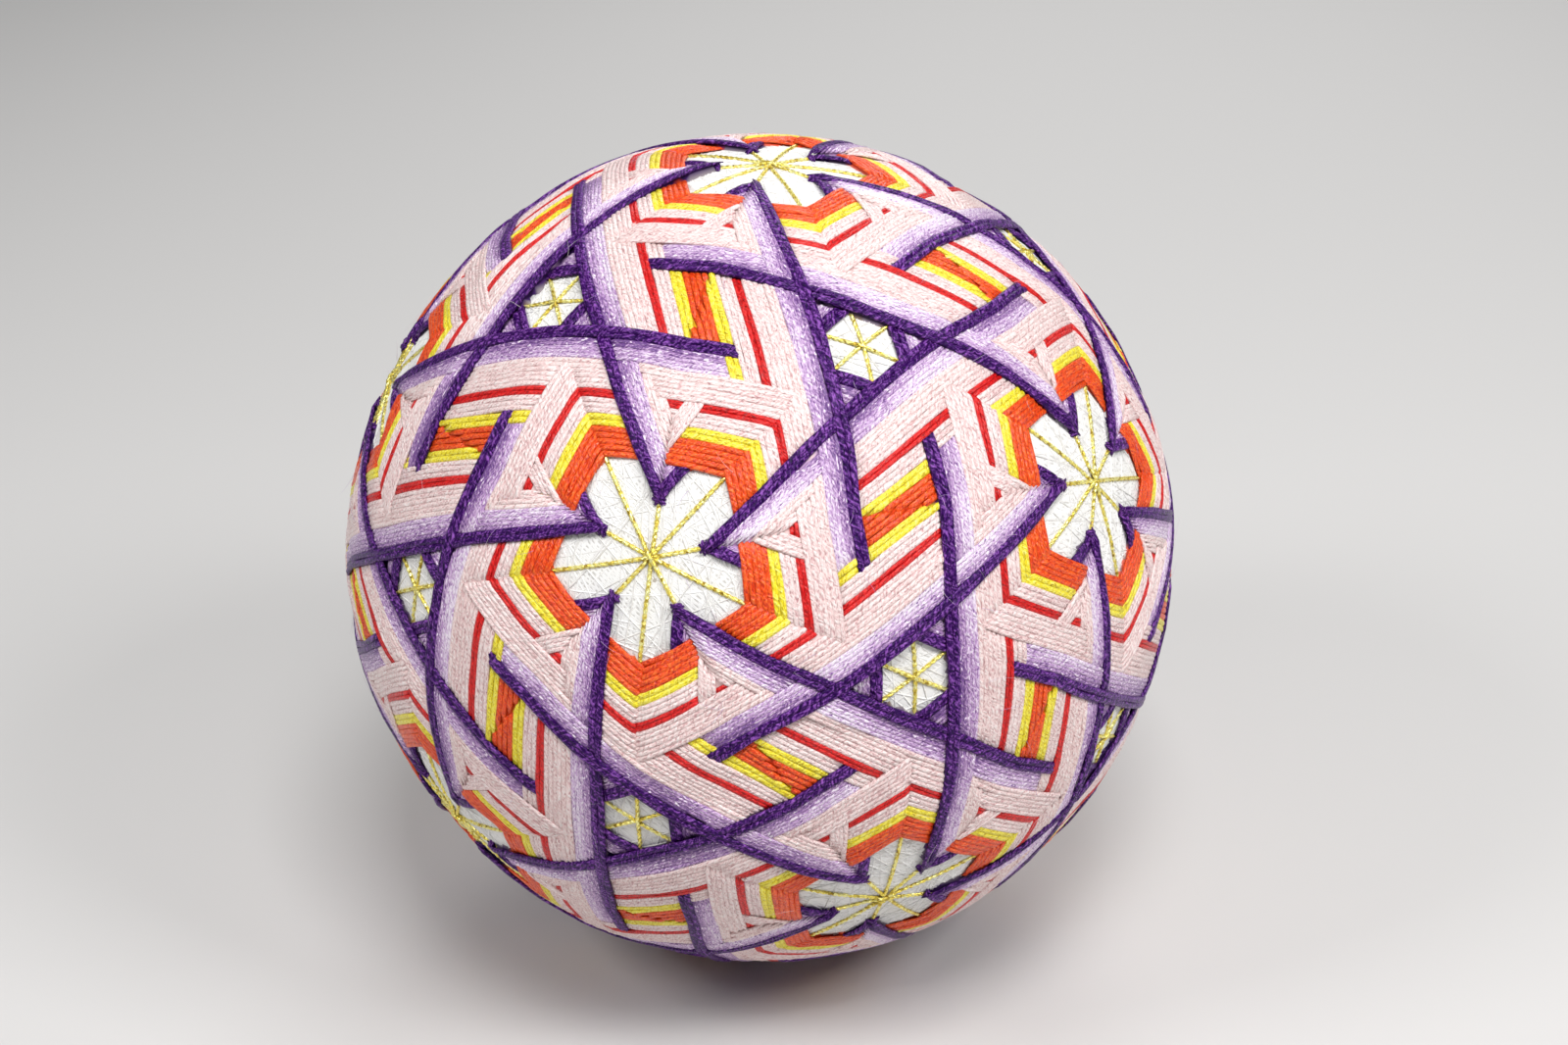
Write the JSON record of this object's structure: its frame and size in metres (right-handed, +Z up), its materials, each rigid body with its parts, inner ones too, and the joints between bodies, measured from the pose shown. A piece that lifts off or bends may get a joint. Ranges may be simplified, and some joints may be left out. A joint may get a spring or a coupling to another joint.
{
  "type": "temari ball",
  "caption": "Thread-wound decorative ball covered in interwoven five-pointed star bands of coloured floss, with small open windows onto the pale winding.",
  "frame": {"origin": "middle of the small flat spot that the ball rests on", "axes": "+Z up through the ball's middle, -Y towards the viewer, +X to the viewer's right"},
  "size_m": [0.0838, 0.0834, 0.0825],
  "materials": {
    "floss": "soft sheen stranded thread",
    "winding": "matt fine sewing thread",
    "metallic_thread": "glittering foil-wrapped thread"
  },
  "bodies": {
    "root": {"temari_ball": "floss"}
  },
  "joints": []
}
